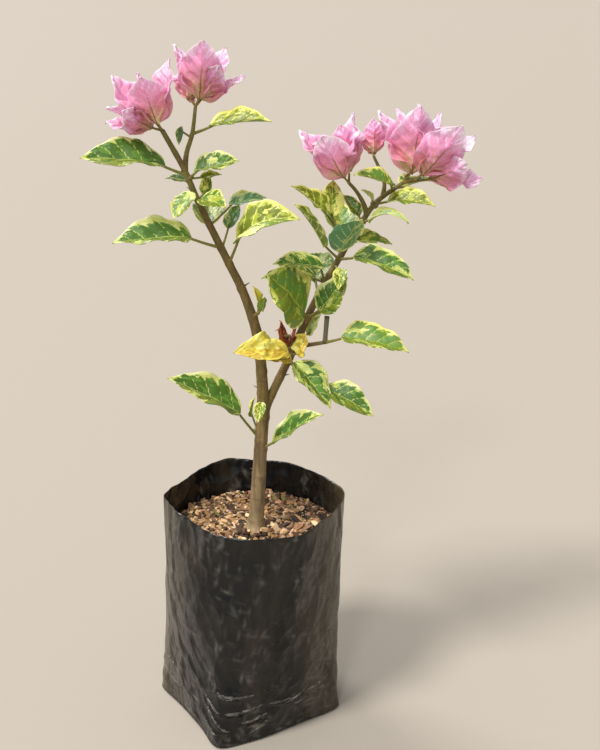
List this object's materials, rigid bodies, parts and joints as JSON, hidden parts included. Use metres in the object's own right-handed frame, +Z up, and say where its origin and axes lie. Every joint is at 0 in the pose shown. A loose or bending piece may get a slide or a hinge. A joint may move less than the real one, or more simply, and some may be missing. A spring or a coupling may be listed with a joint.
{
  "type": "potted bougainvillea shrub",
  "caption": "Young variegated bougainvillea with two leafy limbs and pink papery blossom, rooted in a round black polythene grow bag of potting mix.",
  "frame": {"origin": "middle of the grow bag's flat underside, on the floor", "axes": "+Z up; the front, where the side with the bag's forward corner is, faces -Y; +X to the right seen from the front"},
  "size_m": [0.237, 0.1239, 0.4444],
  "materials": {
    "film": "satin, dusty and creased",
    "potting_mix": "loose, matte",
    "bark": "fine rough bark",
    "green_bark": "smooth young bark",
    "leaf": "soft satin, green with cream and yellow margins",
    "bract": "papery, matte",
    "dry_bract": "dry, matte"
  },
  "bodies": {
    "root": {"grow_bag": "film", "potting_mix": "potting_mix", "trunk": "bark", "left_leader": "green_bark", "right_bough": "green_bark", "left_twig": "green_bark", "right_twig": "green_bark", "middle_twig": "green_bark", "low_left_leaves": "leaf", "low_right_leaf": "leaf", "fork_leaf": "leaf", "leader_shoot_leaves": "leaf", "arching_leaf": "leaf", "pale_back_leaf": "leaf", "left_middle_leaf": "leaf", "left_cluster_leaves": "leaf", "left_upright_leaf": "leaf", "grey_back_leaf": "leaf", "small_back_leaf": "leaf", "yellow_edged_leaves": "leaf", "left_top_leaf": "leaf", "left_twig_leaf": "leaf", "left_twig_small_leaf": "leaf", "yellow_leaves": "leaf", "pale_upright_leaf": "leaf", "right_middle_spray": "leaf", "lower_right_leaves": "leaf", "bough_front_leaves": "leaf", "bough_left_leaves": "leaf", "small_folded_leaf": "leaf", "tall_centre_leaf": "leaf", "long_twig_leaves": "leaf", "round_grey_leaf": "leaf", "right_curled_leaves": "leaf", "right_low_leaf": "leaf", "right_back_leaf": "leaf", "right_tip_leaves": "leaf", "right_top_leaf": "leaf", "leader_back_leaf": "leaf", "bough_back_leaf": "leaf", "bough_back_upper_leaf": "leaf", "tip_back_leaf": "leaf", "left_outer_blossom": "bract", "left_inner_blossom": "bract", "right_inner_blossom": "bract", "right_middle_blossom": "bract", "right_outer_blossom": "bract", "dried_blossom": "dry_bract"}
  },
  "joints": []
}
